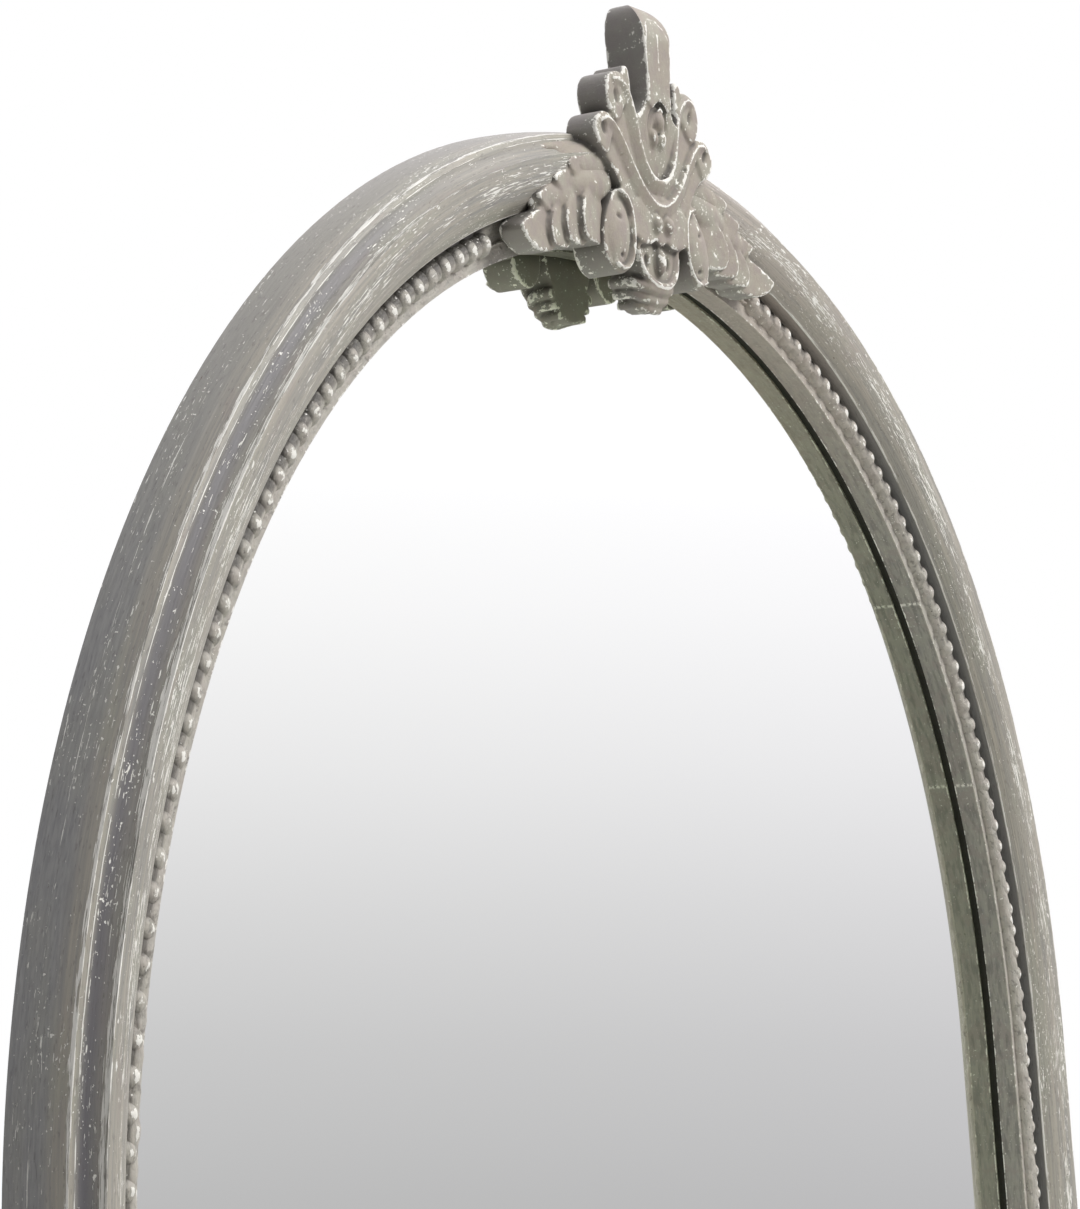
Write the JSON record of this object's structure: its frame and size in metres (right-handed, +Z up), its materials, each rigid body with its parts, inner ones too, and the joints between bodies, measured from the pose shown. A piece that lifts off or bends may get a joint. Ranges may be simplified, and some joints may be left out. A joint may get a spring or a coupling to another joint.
{
  "type": "arched mirror",
  "caption": "Tall round-arched mirror in a beaded, moulded grey wooden frame with a carved crest, hung on a wall by hinged rings on its back.",
  "frame": {"origin": "midway between the pivots of the two hanging rings, on the rear face of the back board", "axes": "+Z up along the mirror's height, +Y back towards the wall, the glass faces -Y"},
  "size_m": [0.9, 0.0534, 1.857],
  "materials": {
    "painted_wood": "grey distressed paint, matt, white and bare wood at worn edges",
    "dowel_wood": "plain beech",
    "silvered_glass": "clear float glass silvered on its back",
    "black_foam": "closed-cell foam tape",
    "grey_plastic": "hard plastic packers",
    "brown_board": "smooth brown hardboard",
    "zinc_steel": "bright zinc plate",
    "grey_rubber": "soft rubber"
  },
  "bodies": {
    "mirror": {"stile_left": "painted_wood", "stile_right": "painted_wood", "bottom_rail": "painted_wood", "arch_haunch_left": "painted_wood", "arch_haunch_right": "painted_wood", "arch_shoulder_left": "painted_wood", "arch_shoulder_right": "painted_wood", "arch_crown_left": "painted_wood", "arch_crown_right": "painted_wood", "arch_slip_left": "painted_wood", "arch_slip_right": "painted_wood", "stile_slip_left": "painted_wood", "stile_slip_right": "painted_wood", "rail_slip": "painted_wood", "crest_cartouche": "painted_wood", "leaf_spray_left": "painted_wood", "leaf_spray_right": "painted_wood", "arch_dowels": "dowel_wood", "mitre_dowels": "dowel_wood", "crest_dowels": "dowel_wood", "mirror_glass": "silvered_glass", "glazing_tape": "black_foam", "setting_blocks": "grey_plastic", "back_board": "brown_board", "board_screws": "zinc_steel", "hanger_screws": "zinc_steel", "hanger_strap_left": "zinc_steel", "hanger_strap_right": "zinc_steel", "wall_bumpers": "grey_rubber"},
    "ring_left": {"hanger_ring_left": "zinc_steel"},
    "ring_right": {"hanger_ring_right": "zinc_steel"}
  },
  "joints": [
    {"name": "ring_left_swing", "type": "hinge", "parent": "mirror", "child": "ring_left", "pos_m": [-0.43, 0.0034, 0], "axis": [1, 0, 0], "range_deg": [0, 180]},
    {"name": "ring_right_swing", "type": "hinge", "parent": "mirror", "child": "ring_right", "pos_m": [0.43, 0.0034, 0], "axis": [1, 0, 0], "range_deg": [0, 180]}
  ]
}
